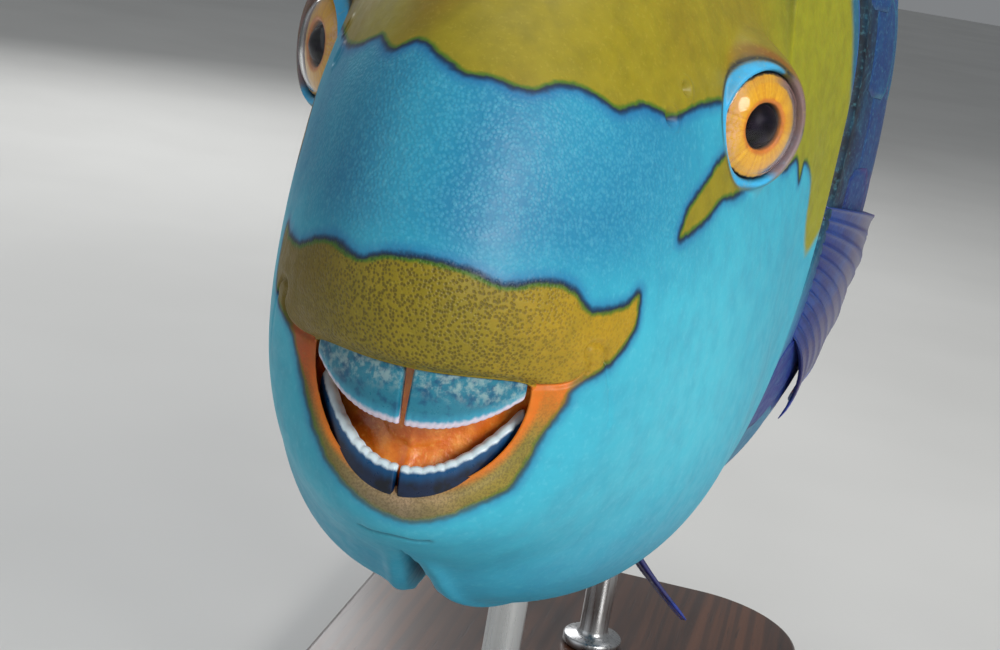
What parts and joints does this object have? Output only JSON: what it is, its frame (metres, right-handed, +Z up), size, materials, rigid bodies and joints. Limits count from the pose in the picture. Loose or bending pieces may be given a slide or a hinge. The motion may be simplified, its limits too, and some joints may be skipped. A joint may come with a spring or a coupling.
{
  "type": "parrotfish",
  "caption": "Life-size parrotfish with a blunt head, a fused beak in a half-open mouth, folded fins and a lunate tail, held by rods on a flat base.",
  "frame": {"origin": "middle of the underside of the display base, which is the lowest level", "axes": "+Z up, the fish's nose towards -Y and its tail towards +Y, its left side towards +X"},
  "size_m": [0.156, 0.6164, 0.3213],
  "materials": {
    "skin": "wet satin fish skin, turquoise blue with olive-gold fields",
    "fin": "satin fin membrane, cobalt blue with an olive-orange band",
    "beak": "glossy tooth plate, teal and navy with a white cutting edge",
    "mouth": "wet orange mouth tissue",
    "eye": "clear glossy eye with an orange-gold iris and a dark pupil",
    "base": "dark satin-varnished wood",
    "rod": "brushed"
  },
  "bodies": {
    "root": {"head": "skin", "lower_jaw": "skin", "gill_cover_left": "skin", "gill_cover_right": "skin", "torso": "skin", "tail_stem": "skin", "eye_left": "eye", "eye_right": "eye", "beak_upper_left": "beak", "beak_upper_right": "beak", "beak_lower_left": "beak", "beak_lower_right": "beak", "mouth_lining": "mouth", "dorsal_fin": "fin", "anal_fin": "fin", "tail_fin_upper": "fin", "tail_fin_lower": "fin", "pectoral_fin_left": "fin", "pectoral_fin_right": "fin", "pelvic_fin_left": "fin", "pelvic_fin_right": "fin", "stand_base": "base", "stand_rod_front": "rod", "stand_rod_rear": "rod"}
  },
  "joints": []
}
